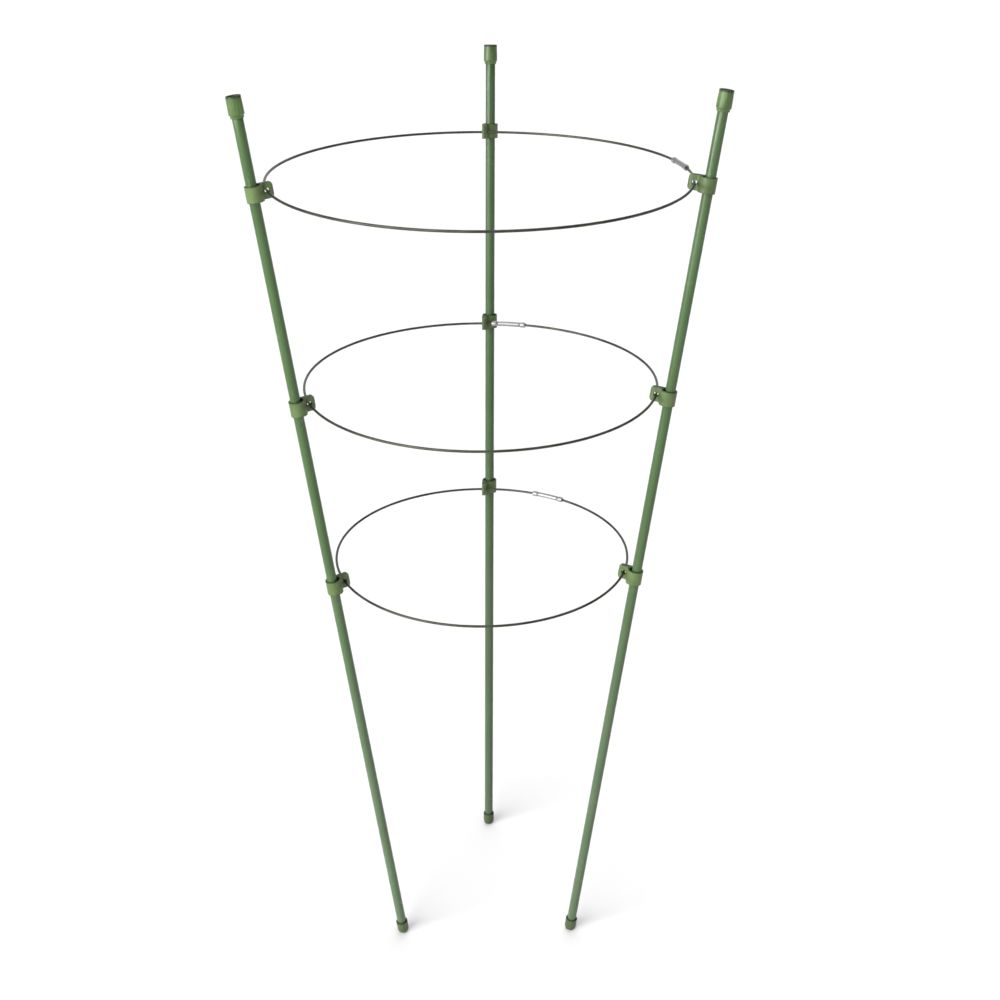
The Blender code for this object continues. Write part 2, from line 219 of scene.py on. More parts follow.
def tidy_mesh():
    """Weld a mesh in edit mode, point its faces out, and leave edit mode."""
    bpy.ops.mesh.select_all(action="SELECT")
    bpy.ops.mesh.remove_doubles(threshold=WELD)
    bpy.ops.mesh.normals_make_consistent(inside=False)
    bpy.ops.object.mode_set(mode="OBJECT")


def arc(centre, radius, start, end, steps):
    """Points along an arc in a plane, from one angle to another in degrees."""
    angles = [math.radians(start + (end - start) * step / steps) for step in range(steps + 1)]
    return [(centre[0] + radius * math.cos(a), centre[1] + radius * math.sin(a)) for a in angles]


def soften(piece, width, segments, angle=30):
    """Round the edges that are sharper than an angle, and shade the rest smooth."""
    bevel = piece.modifiers.new("soft_edges", "BEVEL")
    bevel.width = width
    bevel.segments = segments
    bevel.limit_method = "ANGLE"
    bevel.angle_limit = math.radians(angle)
    bpy.context.view_layer.objects.active = piece
    bpy.ops.object.modifier_apply(modifier=bevel.name)
    bpy.ops.object.shade_smooth_by_angle(angle=SMOOTH)


def cut_round(piece, steps, radius, depth, place, turned=(0, 0, 0)):
    """Cut a round hole through a piece."""
    bpy.ops.object.select_all(action="DESELECT")
    bpy.ops.mesh.primitive_cylinder_add(
        vertices=steps, radius=radius, depth=depth, location=place, rotation=turned
    )
    drill = bpy.context.object
    hole = piece.modifiers.new("hole", "BOOLEAN")
    hole.operation = "DIFFERENCE"
    hole.solver = "MANIFOLD"
    hole.object = drill
    bpy.context.view_layer.objects.active = piece
    bpy.ops.object.modifier_apply(modifier=hole.name)
    bpy.data.objects.remove(drill)


def select_edges(piece, test):
    """Select only the edges whose two ends pass a test, and stay in edit mode."""
    bpy.ops.object.mode_set(mode="EDIT")
    bpy.ops.mesh.select_mode(type="EDGE")
    bpy.ops.mesh.select_all(action="DESELECT")
    bpy.ops.object.mode_set(mode="OBJECT")
    spots = piece.data.vertices
    for edge in piece.data.edges:
        edge.select = all(test(spots[corner].co) for corner in edge.vertices)
    bpy.ops.object.mode_set(mode="EDIT")


def keep_own_place(piece, rule=None):
    """Store where each vertex is on the piece itself, in millimetres, for its patterns."""
    own = piece.data.attributes.new(OWN_PLACE, "FLOAT_VECTOR", "POINT")
    for vertex, place in zip(piece.data.vertices, own.data):
        place.vector = rule(vertex.co) if rule else vertex.co


def copy_of(piece):
    """Another of the same piece, with its own mesh."""
    bpy.ops.object.select_all(action="DESELECT")
    piece.select_set(True)
    bpy.context.view_layer.objects.active = piece
    bpy.ops.object.duplicate(linked=False)
    return bpy.context.object


def fit(piece, name, matrix, material, body, node, painted_piece_shade=1.0):
    """Bring a piece to metres, fix it in its place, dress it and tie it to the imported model."""
    piece.name = name
    piece.data.name = name
    # Painted shade: the piece's own darkening factor, kept on its vertices
    own = piece.data.attributes.new(OWN_PAINTED_SHADE, "FLOAT", "POINT")
    for place in own.data:
        place.value = painted_piece_shade
    bpy.ops.object.select_all(action="DESELECT")
    piece.select_set(True)
    bpy.context.view_layer.objects.active = piece
    piece.matrix_world = matrix @ Matrix.Scale(MM, 4)
    bpy.ops.object.transform_apply(location=True, rotation=True, scale=True)
    piece.data.materials.clear()
    piece.data.materials.append(material)
    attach(piece, body)
    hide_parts(node)


def fit_stakes(model, name, material, node):
    """Put a copy of a model on each stake, and drop the model."""
    for stake in STAKES:
        placed = stake_matrix(stake)
        body = stake + "_stake"
        # Painted shade of this stake's pieces
        painted_piece_shade = STAKE_PAINTED_SHADES[stake]
        fit(copy_of(model), name + stake, placed, material, body, node + stake, painted_piece_shade)
    bpy.data.objects.remove(model)


# Shader maths


class Signal:
    """A socket that can be used in sums."""

    def __init__(self, finish, socket):
        self.finish = finish
        self.socket = socket

    def maths(self, operation, *values):
        settings = {"operation": operation}
        return self.finish.node("ShaderNodeMath", settings, dict(enumerate(values)))

    def __add__(self, other):
        return self.maths("ADD", self, other)

    def __radd__(self, other):
        return self.maths("ADD", other, self)

    def __sub__(self, other):
        return self.maths("SUBTRACT", self, other)

    def __rsub__(self, other):
        return self.maths("SUBTRACT", other, self)

    def __mul__(self, other):
        return self.maths("MULTIPLY", self, other)

    def __rmul__(self, other):
        return self.maths("MULTIPLY", other, self)

    def __pow__(self, other):
        return self.maths("POWER", self, other)

    def __rpow__(self, other):
        return self.maths("POWER", other, self)

    def __abs__(self):
        return self.maths("ABSOLUTE", self)

    def ramp(self, start, end):
        """0 below start, 1 above end and smooth between them. Start may be the larger."""
        settings = {"interpolation_type": "SMOOTHSTEP"}
        return self.finish.node("ShaderNodeMapRange", settings, {0: self, 1: start, 2: end})


class Finish:
    """A material in the making."""

    def __init__(self, name):
        self.material = bpy.data.materials.new(name)
        self.material.use_nodes = True
        self.tree = self.material.node_tree
        self.shader = self.tree.nodes["Principled BSDF"]

    def node(self, kind, settings=None, inputs=None, output=0):
        """Add a node, set it up, fill its sockets with values or links, and give one output."""
        made = self.tree.nodes.new(kind)
        for setting, value in (settings or {}).items():
            setattr(made, setting, value)
        self.fill(made, inputs or {})
        return Signal(self, made.outputs[output])

    def fill(self, node, inputs):
        for key, value in inputs.items():
            if isinstance(value, Signal):
                self.tree.links.new(value.socket, node.inputs[key])
            else:
                node.inputs[key].default_value = value

    def stretched(self, place, factors):
        """A place with each of its axes multiplied by a factor of its own."""
        settings = {"operation": "MULTIPLY"}
        return self.node("ShaderNodeVectorMath", settings, {0: place, 1: factors})

    def own(self, factors=(1, 1, 1)):
        """The place on the piece itself in millimetres, stretched along its axes."""
        place = self.node("ShaderNodeAttribute", {"attribute_name": OWN_PLACE}, output=1)
        return self.stretched(place, factors)

    def with_painted_piece_shade(self, colour):
        """A colour darkened by the piece's own factor of painted shade."""
        painted_piece_shade = self.node("ShaderNodeAttribute", {"attribute_name": OWN_PAINTED_SHADE}, output=2)
        return self.mix(1 - painted_piece_shade, colour, (0, 0, 0, 1))

    def world(self):
        """The place in the whole object, in metres."""
        return self.node("ShaderNodeTexCoord", output=3)

    def axes(self, vector):
        """The three numbers of a vector."""
        parts = self.node("ShaderNodeSeparateXYZ", inputs={0: vector})
        return [Signal(self, socket) for socket in parts.socket.node.outputs]

    def noise(self, vector, scale, detail=2.0, roughness=0.5):
        inputs = {"Vector": vector, "Scale": scale, "Detail": detail, "Roughness": roughness}
        return self.node("ShaderNodeTexNoise", inputs=inputs)

    def mix(self, amount, first, second):
        inputs = {0: amount, 6: first, 7: second}
        return self.node("ShaderNodeMix", {"data_type": "RGBA"}, inputs, output=2)

    def bump(self, height, distance, strength):
        inputs = {"Height": height, "Distance": distance, "Strength": strength}
        return self.node("ShaderNodeBump", inputs=inputs)

    def dress(self, **sockets):
        """Fill the shader's sockets, named with underscores for spaces."""
        self.fill(self.shader, {key.replace("_", " "): value for key, value in sockets.items()})
        return self.material


def shade(colour, factor):
    """A colour of three numbers made lighter or darker, with its alpha."""
    return (*[min(part * factor, 1) for part in colour], 1)


def coat_finish(looks):
    """Extruded plastic: draw lines, mottling, soil and a painted reflection of the floor near the
    ground, and rubs beside the clips.
    """
    finish = Finish("coat_green")
    colour = looks.coat_colour
    lines = finish.noise(finish.own((1, 1, 0.006)), 0.9, 3.0, 0.6)
    mottle = finish.noise(finish.world(), 22.0, 3.0, 0.6)
    peel = finish.noise(finish.own(), 0.9, 2.0)
    height = finish.axes(finish.own())[2]
    beside_clip = 0
    for level in LEVELS:
        place = ring_centre(level).z / stake_line("left")[1].z / MM
        beside_clip = beside_clip + abs(height - place).ramp(*RUB_REACH)
    scratches = finish.noise(finish.own((1, 1, 0.15)), 0.6, 4.0, 0.65).ramp(0.56, 0.70)
    rub = scratches * beside_clip * looks.wear
    specks = finish.noise(finish.own(), 0.7, 1.0).ramp(0.70, 0.76)
    body = finish.mix(mottle.ramp(0.25, 0.75), shade(colour, 0.90), shade(colour, 1.10))
    lined = finish.mix(lines.ramp(0.45, 0.75) * 0.35, body, shade(colour, 1.28))
    # Soil and a painted reflection of the pale floor: lighter and greyer towards the ground
    soil_and_painted_reflection = height.ramp(*SOIL_AND_REFLECTION_HEIGHTS) * (0.35 + mottle * 0.65)
    patchy_painted_light = finish.mix(soil_and_painted_reflection * 0.50, lined, SOIL_AND_FLOOR_REFLECTION)
    dusty = finish.mix(specks * 0.18, patchy_painted_light, DUST)
    worn = finish.mix(rub * 0.5, dusty, RUBBED)
    relief = peel * 0.35 + lines * 0.65
    return finish.dress(
        Base_Color=finish.with_painted_piece_shade(worn),
        Roughness=looks.coat_roughness + mottle * 0.10 + rub * 0.18,
        Specular_IOR_Level=PLASTIC_SPECULAR,
        Normal=finish.bump(relief, 0.00006, 0.35),
    )


def moulded_finish(name, colour, roughness, flow, rims, painted_shade_mask):
    """Moulded plastic: fine grain, streaks of flow, worn rims, and painted shade where the shade
    mask says.
    """
    finish = Finish(name)
    grain = finish.noise(finish.own(), 2.6, 2.0, 0.6)
    cloud = finish.noise(finish.world(), 90.0, 3.0, 0.55)
    streaks = finish.noise(finish.own((1, 1, 0.10)), 0.42, 3.0, 0.6)
    height = finish.axes(finish.own())[2]
    rim = 0.0
    for place, reach in rims:
        rim = rim + abs(height - place).ramp(reach, 0)
    rub = rim * finish.noise(finish.own(), 0.42, 3.0, 0.6).ramp(0.40, 0.66)
    body = finish.mix(cloud.ramp(0.3, 0.7), shade(colour, 0.88), shade(colour, 1.12))
    shaded = finish.mix(streaks.ramp(0.48, 0.38) * flow, body, shade(colour, 0.55))
    flowed = finish.mix(streaks.ramp(0.52, 0.62) * flow, shaded, shade(colour, 1.6))
    worn = finish.mix(rub * 0.30, flowed, shade(colour, 1.5))
    # Painted shade: dishes, bores, holes, rim bands and edges darkened, and made rougher
    painted_shade = painted_shade_mask(finish)
    darkened = finish.mix(painted_shade * 0.85, worn, shade(colour, 0.16))
    return finish.dress(
        Base_Color=finish.with_painted_piece_shade(darkened),
        Roughness=roughness + grain * 0.10 + rub * 0.10 + painted_shade * 0.25,
        Specular_IOR_Level=PLASTIC_SPECULAR,
        Normal=finish.bump(grain, 0.00005, 0.30),
    )


def cap_painted_shade(rim, band):
    """A mask of painted shade in a cap's dish below its rim, and in a band at the rim broken up
    by noise.
    """
    def painted_shade_mask(finish):
        x, y, height = finish.axes(finish.own())
        away = (x * x + y * y) ** 0.5
        within = away.ramp(MOUTH + 0.2, MOUTH) * height.ramp(rim - 0.05, rim - 0.7)
        # Noise that breaks up the painted shade on the rim
        patchy_painted_light = finish.noise(finish.own(), 0.5, 2.0).ramp(0.15, 0.45)
        return within.maths("MAXIMUM", within, height.ramp(rim - band, rim - band * 0.5) * patchy_painted_light)
    return painted_shade_mask


def clip_painted_shade(looks):
    """A mask of painted shade in a clip's collar bore and wire hole, and of painted dark outlines
    along its edges.
    """
    def painted_shade_mask(finish):
        x, y, height = finish.axes(finish.own())
        from_stake = ((x - looks.collar_shift) ** 2 + y * y) ** 0.5
        bore = looks.collar_radius - looks.collar_wall
        beside = x - looks.hole_reach
        from_wire = (beside * beside + height * height) ** 0.5
        in_bore = from_stake.ramp(bore + 0.25, bore + 0.05)
        in_hole = from_wire.ramp(looks.hole_radius + 0.25, looks.hole_radius)
        # Painted shade: dark outlines along the top, bottom and end edges
        edge = looks.height / 2
        at_edge = abs(height).ramp(edge - 0.6, edge - 0.2)
        at_edge = at_edge.maths("MAXIMUM", at_edge, x.ramp(looks.nose - 0.6, looks.nose - 0.2))
        inside = in_bore.maths("MAXIMUM", in_bore, in_hole)
        return inside.maths("MAXIMUM", inside, at_edge * 0.7)
    return painted_shade_mask


def wire_finish(looks):
    """Drawn steel wire: fine lines along it and duller patches."""
    finish = Finish("wire_steel")
    colour = looks.wire_colour
    drawn = finish.noise(finish.own((0.006, 1, 1)), 2.6, 3.0, 0.6)
    patches = finish.noise(finish.own((1, 0.2, 0.2)), 0.055, 3.0, 0.6)
    body = finish.mix(patches.ramp(0.35, 0.70), shade(colour, 0.72), shade(colour, 1.30))
    lined = finish.mix(drawn.ramp(0.45, 0.80) * 0.4, body, shade(colour, 1.9))
    return finish.dress(
        Base_Color=lined,
        Metallic=0.9,
        Roughness=looks.wire_roughness + patches * 0.16,
        Normal=finish.bump(drawn, 0.00004, 0.4),
    )


def ferrule_finish(looks):
    """Rolled metal with turning lines round it, darker in the crimps."""
    finish = Finish("ferrule_silver")
    colour = looks.ferrule_colour
    along = abs(finish.axes(finish.own())[0])
    rolled = finish.noise(finish.own((1, 0.05, 0.05)), 3.0, 3.0, 0.6)
    cloud = finish.noise(finish.own(), 0.24, 3.0, 0.6)
    crimp = abs(along - looks.crimp_place).ramp(1.3, 0.4)
    body = finish.mix(cloud.ramp(0.3, 0.75), shade(colour, 0.86), shade(colour, 1.08))
    lined = finish.mix(rolled.ramp(0.5, 0.8) * 0.35, body, shade(colour, 0.66))
    darkened = finish.mix(crimp * 0.55, lined, shade(colour, 0.35))
    return finish.dress(
        Base_Color=darkened,
        Metallic=1.0,
        Roughness=looks.ferrule_roughness + cloud * 0.12 + crimp * 0.15,
        Normal=finish.bump(rolled, 0.00004, 0.4),
    )


def tube_finish():
    """Plain rolled steel tube with mill marks along it. The coat hides most of it."""
    finish = Finish("tube_steel")
    drawn = finish.stretched(finish.world(), (900, 900, 20))
    marks = finish.noise(drawn, 1.0, 3.0, 0.6)
    body = finish.mix(marks.ramp(0.35, 0.75), *STEEL_SHADES)
    return finish.dress(Base_Color=body, Metallic=1.0, Roughness=0.38 + marks * 0.15)


def floor_finish(colour):
    """Matt pale board with a very faint unevenness."""
    finish = Finish("pale_floor")
    cloud = finish.noise(finish.world(), 1.4, 3.0, 0.5)
    body = finish.mix(cloud, shade(colour, 0.99), shade(colour, 1.01))
    return finish.dress(Base_Color=body, Roughness=0.9, Specular_IOR_Level=0.1)


# What a user may change


class StakeLooks(bpy.types.PropertyGroup):
    """Coats and caps of the stakes."""

    coat_colour: FloatVectorProperty(
        name="Coat colour", description="Colour of the plastic coat on the stakes",
        subtype="COLOR", size=3, min=0, max=1, default=(0.055, 0.109, 0.036),
    )
    coat_roughness: FloatProperty(
        name="Coat roughness", description="Least roughness of the coat",
        subtype="FACTOR", min=0, max=1, default=0.21,
    )
    wear: FloatProperty(
        name="Rub marks", description="How strongly the coat is rubbed beside the clips",
        subtype="FACTOR", min=0, max=1, default=0.6,
    )
    coat_diameter: FloatProperty(
        name="Coat diameter", description="Outside diameter of a stake, in millimetres",
        min=4, max=20, default=8.0,
    )
    coat_bore: FloatProperty(
        name="Coat bore", description="Inside diameter of the coat, in millimetres",
        min=3, max=19, default=7.0,
    )
    length: FloatProperty(
        name="Stake length", description="Foot tip to top rim, in millimetres",
        min=300, max=2000, default=750.0,
    )
    cap_colour: FloatVectorProperty(
        name="Cap colour", description="Colour of the moulded caps",
        subtype="COLOR", size=3, min=0, max=1, default=(0.077, 0.134, 0.038),
    )
    foot_colour: FloatVectorProperty(
        name="Foot colour", description="Colour of the soiled foot caps",
        subtype="COLOR", size=3, min=0, max=1, default=(0.064, 0.091, 0.035),
    )
    cap_roughness: FloatProperty(
        name="Cap roughness", description="Least roughness of the caps",
        subtype="FACTOR", min=0, max=1, default=0.28,
    )
    steps: IntProperty(
        name="Steps", description="Facets round a stake or cap", min=12, max=256, default=64,
    )


class ClipLooks(bpy.types.PropertyGroup):
    """The moulded clips."""

    colour: FloatVectorProperty(
        name="Clip colour", description="Colour of the moulded clips",
        subtype="COLOR", size=3, min=0, max=1, default=(0.101, 0.156, 0.050),
    )
    roughness: FloatProperty(
        name="Clip roughness", description="Least roughness of the clips",
        subtype="FACTOR", min=0, max=1, default=0.36,
    )
    height: FloatProperty(
        name="Height", description="Height of a clip, in millimetres",
        min=4, max=40, default=11.6,
    )
    collar_radius: FloatProperty(
        name="Collar radius", description="Outside radius of the collar, in millimetres",
        min=4, max=20, default=6.4,
    )
    collar_wall: FloatProperty(
        name="Collar wall", description="Thickness of the collar, in millimetres",
        min=0.5, max=5, default=1.1,
    )
    collar_shift: FloatProperty(
        name="Collar shift", description="How far the rings pull a collar in, in millimetres",
        min=0, max=5, default=1.0,
    )
    plate: FloatProperty(
        name="Plate thickness", description="Thickness of the plate, in millimetres",
        min=1, max=10, default=4.2,
    )
    nose: FloatProperty(
        name="Plate reach", description="Stake axis to the end of the plate, in millimetres",
        min=8, max=40, default=15.5,
    )
    nose_radius: FloatProperty(
        name="Corner radius", description="Radius of the plate's corners, in millimetres",
        min=0.5, max=5, default=2.6,
    )
    fillet: FloatProperty(
        name="Fillet", description="Radius between collar and plate, in millimetres",
        min=0.5, max=5, default=2.2,
    )
    hole_radius: FloatProperty(
        name="Wire hole radius", description="Radius of the wire hole, in millimetres",
        min=0.5, max=5, default=1.9,
    )
    hole_reach: FloatProperty(
        name="Wire hole reach", description="Stake axis to the wire hole, in millimetres",
        min=6, max=30, default=10.8,
    )


class RingLooks(bpy.types.PropertyGroup):
    """Wire rings and their ferrules."""

    wire_colour: FloatVectorProperty(
        name="Wire colour", description="Colour of the drawn wire",
        subtype="COLOR", size=3, min=0, max=1, default=(0.058, 0.065, 0.050),
    )
    wire_roughness: FloatProperty(
        name="Wire roughness", description="Least roughness of the wire",
        subtype="FACTOR", min=0, max=1, default=0.36,
    )
    wire_radius: FloatProperty(
        name="Wire radius", description="Radius of the wire, in millimetres",
        min=0.3, max=5, default=1.0,
    )
    wire_gap: FloatProperty(
        name="Gap", description="Between the wire's ends inside the ferrule, in millimetres",
        min=0.1, max=10, default=1.0,
    )
    steps: IntProperty(
        name="Steps", description="Facets round a ring", min=60, max=720, default=300,
    )
    ferrule_colour: FloatVectorProperty(
        name="Ferrule colour", description="Colour of the metal ferrules",
        subtype="COLOR", size=3, min=0, max=1, default=(0.34, 0.34, 0.34),
    )
    ferrule_roughness: FloatProperty(
        name="Ferrule roughness", description="Least roughness of the ferrules",
        subtype="FACTOR", min=0, max=1, default=0.38,
    )
    crimp_place: FloatProperty(
        name="Crimp place", description="Ferrule middle to each crimp, in millimetres",
        min=1, max=40, default=9.8,
    )


class StageLooks(bpy.types.PropertyGroup):
    """Floor, light and camera."""

    floor_colour: FloatVectorProperty(
        name="Floor colour", description="Colour of the floor",
        subtype="COLOR", size=3, min=0, max=1, default=(0.93, 0.93, 0.93),
    )
    ambient: FloatProperty(
        name="Ambient", description="Strength of the light from all round",
        min=0, max=5, default=0.06,
    )
    key: FloatProperty(
        name="Key light", description="Strength of the broad light from the front left",
        min=0, max=20, default=4.6,
    )
    strip: FloatProperty(
        name="Strip light", description="Strength of the low narrow light that draws streaks",
        min=0, max=20, default=1.6,
    )
    top: FloatProperty(
        name="Top light", description="Strength of the light from above",
        min=0, max=20, default=1.2,
    )
    back: FloatProperty(
        name="Back light", description="Strength of the soft light from behind",
        min=0, max=20, default=1.1,
    )
    lens: FloatProperty(
        name="Lens", description="Focal length of the camera, in millimetres",
        min=10, max=300, default=50.4,
    )


# The pieces


class SUPPORT_OT_stake_coats(bpy.types.Operator):
    """Model the plastic coats and dress the steel tubes inside them"""

    bl_idname = "plant_support.stake_coats"
    bl_label = "Stake coats"

    def execute(self, context):
        looks = context.scene.stake_looks
        outer = looks.coat_diameter / 2
        inner = looks.coat_bore / 2
        low = COAT_START
        high = looks.length - COAT_END
        levels = [low + (high - low) * step / COAT_LOOPS for step in range(COAT_LOOPS + 1)]
        profile = [(inner, high)] + [(outer, level) for level in reversed(levels)]
        profile += [(inner, low), (inner, high)]
        model = turn(profile, looks.steps)
        soften(model, width=0.12, segments=2)
        keep_own_place(model)
        fit_stakes(model, "coat_skin_", coat_finish(looks), "stake_coat_")
        steel = tube_finish()
        for stake in STAKES:
            frame["nodes"]["steel_tube_" + stake].material_slots[0].material = steel
        return {"FINISHED"}


class SUPPORT_OT_top_caps(bpy.types.Operator):
    """Model the dished caps on the stakes' upper ends"""

    bl_idname = "plant_support.top_caps"
    bl_label = "Top caps"

    def execute(self, context):
        looks = context.scene.stake_looks
        top = looks.length
        socket = looks.coat_diameter / 2 + SOCKET_PLAY
        dish = [(0, top - 5.5), (4.2, top - 5.5), (4.6, top - 5.2), (MOUTH, top - 4.8)]
        rim = arc((5.05, top - 0.35), 0.35, 180, 0, 8)
        sleeve = [(5.46, top - 3), (5.56, top - 6), (5.63, top - 9)]
        shoulder = arc((5.05, top - 12.5), 0.6, 0, -60, 6)
        neck = arc((5.2, top - 13.7), 0.3, 120, 180, 4)
        neck += arc((4.75, top - 15.05), 0.15, 0, -90, 4)
        bore = [(socket + 0.12, top - 15.2), (socket, top - 15.08)]
        bore += [(socket, top - 7), (0, top - 7)]
        model = turn(dish + rim + sleeve + shoulder + neck + bore, looks.steps)
        soften(model, width=0.12, segments=2, angle=35)
        keep_own_place(model)
        material = moulded_finish(
            "top_cap_green", looks.cap_colour, looks.cap_roughness, flow=0.55,
            rims=[(top, 0.5), (top - 15.1, 0.5)], painted_shade_mask=cap_painted_shade(top, 2.0),
        )
        fit_stakes(model, "cap_upper_", material, "top_cap_")
        return {"FINISHED"}


class SUPPORT_OT_foot_caps(bpy.types.Operator):
    """Model the closed caps on the stakes' lower ends"""

    bl_idname = "plant_support.foot_caps"
    bl_label = "Foot caps"

    def execute(self, context):
        looks = context.scene.stake_looks
        socket = looks.coat_diameter / 2 + SOCKET_PLAY
        bore = [(0, 3.2), (socket, 3.2), (socket, 8.6), (4.62, 11.53), (MOUTH, FOOT_CAP_HEIGHT)]
        rim = arc((4.85, 11.35), 0.25, 90, 0, 4)
        angles = [math.radians(90 * step / DOME_STEPS) for step in range(DOME_STEPS + 1)]
        dome = [(2.6 + 2.5 * math.cos(a), 3.8 * (1 - math.sin(a))) for a in angles]
        model = turn(bore + rim + dome + [(0, 0)], looks.steps)
        soften(model, width=0.1, segments=2, angle=35)
        keep_own_place(model)
        material = moulded_finish(
            "foot_cap_green", looks.foot_colour, looks.cap_roughness, flow=0.30,
            rims=[(FOOT_CAP_HEIGHT, 0.6), (0.0, 1.2)], painted_shade_mask=cap_painted_shade(FOOT_CAP_HEIGHT, 0.8),
        )
        fit_stakes(model, "cap_foot_", material, "foot_cap_")
        return {"FINISHED"}


def model_clip(looks):
    """A round collar with a plate along one side, drilled for the stake and the wire.

    The four edges round the end of the plate are rounded.
    """
    shift = looks.collar_shift
    outer = looks.collar_radius
    plate_outer = -outer
    plate_inner = plate_outer + looks.plate
    fillet_y = plate_inner + looks.fillet
    fillet_x = shift + math.sqrt((outer + looks.fillet) ** 2 - fillet_y ** 2)
    meet = math.degrees(math.atan2(fillet_y, fillet_x - shift))
    plan = [(looks.nose, plate_outer), (looks.nose, plate_inner)]
    plan += arc((fillet_x, fillet_y), looks.fillet, 270, 180 + meet, 10)
    plan += arc((shift, 0), outer, meet, 270, 60)[1:]
    base = -looks.height / 2
    points = [Vector((x, y, base)) for x, y in plan]
    clip = trace(points + points[:1])
    bpy.ops.mesh.select_all(action="SELECT")
    bpy.ops.mesh.remove_doubles(threshold=WELD)
    bpy.ops.mesh.edge_face_add()
    bpy.ops.mesh.extrude_region_move(TRANSFORM_OT_translate={"value": (0, 0, looks.height)})
    tidy_mesh()
    nose = looks.nose - TOUCH
    select_edges(clip, lambda spot: spot.x > nose)
    bpy.ops.mesh.bevel(offset=looks.nose_radius, segments=NOSE_STEPS, affect="EDGES")
    bpy.ops.object.mode_set(mode="OBJECT")
    cut_round(
        clip, COLLAR_STEPS, radius=outer - looks.collar_wall, depth=looks.height * 2,
        place=(shift, 0, 0),
    )
    cut_round(
        clip, WIRE_HOLE_STEPS, radius=looks.hole_radius, depth=looks.plate * 1.6,
        place=(looks.hole_reach, plate_outer + looks.plate / 2, 0), turned=(math.pi / 2, 0, 0),
    )
    soften(clip, width=0.28, segments=3)
    return clip


class SUPPORT_OT_clips(bpy.types.Operator):
    """Model the moulded clips that hold the rings to the stakes"""

    bl_idname = "plant_support.clips"
    bl_label = "Clips"

    def execute(self, context):
        looks = context.scene.clip_looks
        model = model_clip(looks)
        keep_own_place(model)
        edge = looks.height / 2
        material = moulded_finish(
            "clip_green", looks.colour, looks.roughness, flow=0.15,
            rims=[(edge, 0.7), (-edge, 0.7)], painted_shade_mask=clip_painted_shade(looks),
        )
        for level in LEVELS:
            for stake in STAKES:
                node = "clip_%s_%s" % (level, stake)
                body = "%s_%s_clip" % (level, stake)
                placed = clip_matrix(stake, level)
                # Painted shade of this clip
                painted_piece_shade = CLIP_PAINTED_SHADES[stake][level]
                clip = copy_of(model)
                fit(clip, "moulded_" + node, placed, material, body, node, painted_piece_shade)
        bpy.data.objects.remove(model)
        return {"FINISHED"}


class SUPPORT_OT_rings(bpy.types.Operator):
    """Bend the wire rings"""

    bl_idname = "plant_support.rings"
    bl_label = "Wire rings"

    def execute(self, context):
        looks = context.scene.ring_looks
        material = wire_finish(looks)
        for level in LEVELS:
            radius = ring_radius(level) / MM
            gap = looks.wire_gap / radius
            bpy.ops.object.select_all(action="DESELECT")
            bpy.ops.mesh.primitive_circle_add(
                vertices=WIRE_STEPS, radius=looks.wire_radius, fill_type="NGON",
                location=(radius, 0, 0), rotation=(math.pi / 2, 0, 0),
            )
            wire = bpy.context.object
            bpy.ops.object.transform_apply(location=True, rotation=True, scale=True)
            bpy.ops.object.mode_set(mode="EDIT")
            bpy.ops.mesh.select_all(action="SELECT")
            bpy.ops.mesh.spin(
                steps=looks.steps, dupli=False, angle=math.tau - gap,
                center=(0, 0, 0), axis=(0, 0, 1),
            )
            tidy_mesh()
            bpy.ops.object.shade_smooth_by_angle(angle=SMOOTH)
            keep_own_place(wire, lambda spot: unrolled(spot, radius))
            placed = ring_matrix(level, ferrule_azimuth(level) + gap / 2)
            node = "ring_" + level
            fit(wire, "wire_" + node, placed, material, level + "_ring", node)
        return {"FINISHED"}


def unrolled(spot, radius):
    """A place on a ring as the way along it, the way out from it and the height."""
    along = math.atan2(spot.y, spot.x) * radius
    return Vector((along, math.hypot(spot.x, spot.y) - radius, spot.z))


def ferrule_profile():
    """The ferrule's outline as (radius, place along it), in millimetres, bored for the wire."""
    barrel = [(2.0, place * 1.5) for place in range(6)]
    crimp = [(2.0, 8.6), (1.93, 9.0), (1.87, 9.4), (1.85, 9.8), (1.88, 10.2), (2.02, 10.6)]
    bead = [(2.20, 10.9), (2.31, 11.3), (2.35, 11.8), (2.35, 12.8)]
    bead += [(2.33, 13.6), (2.24, 14.2), (2.06, 14.7), (1.86, 15.0)]
    upper = barrel + crimp + bead
    lower = [(radius, -place) for radius, place in reversed(upper[1:])]
    bore = [(1.40, -15.0 + 1.5 * step) for step in range(21)]
    return list(reversed(upper)) + list(reversed(lower)) + bore


class SUPPORT_OT_ferrules(bpy.types.Operator):
    """Model the crimped ferrules that close the rings"""

    bl_idname = "plant_support.ferrules"
    bl_label = "Ferrules"

    def execute(self, context):
        looks = context.scene.ring_looks
        outline = ferrule_profile()
        material = ferrule_finish(looks)
        for level in LEVELS:
            radius = ring_radius(level) / MM
            sleeve = turn(outline + outline[:1], FERRULE_STEPS)
            bpy.ops.object.shade_smooth_by_angle(angle=SMOOTH)
            keep_own_place(sleeve, lambda spot: Vector((spot.z, spot.x, spot.y)))
            for vertex in sleeve.data.vertices:
                out, up, along = vertex.co
                angle = along / radius
                away = radius + out
                vertex.co = (away * math.cos(angle), away * math.sin(angle), up)
            bpy.ops.object.mode_set(mode="EDIT")
            tidy_mesh()
            placed = ring_matrix(level, ferrule_azimuth(level))
            name = "sleeve_" + level
            node = "ferrule_" + level
            fit(sleeve, name, placed, material, level + "_ring", node)
        return {"FINISHED"}


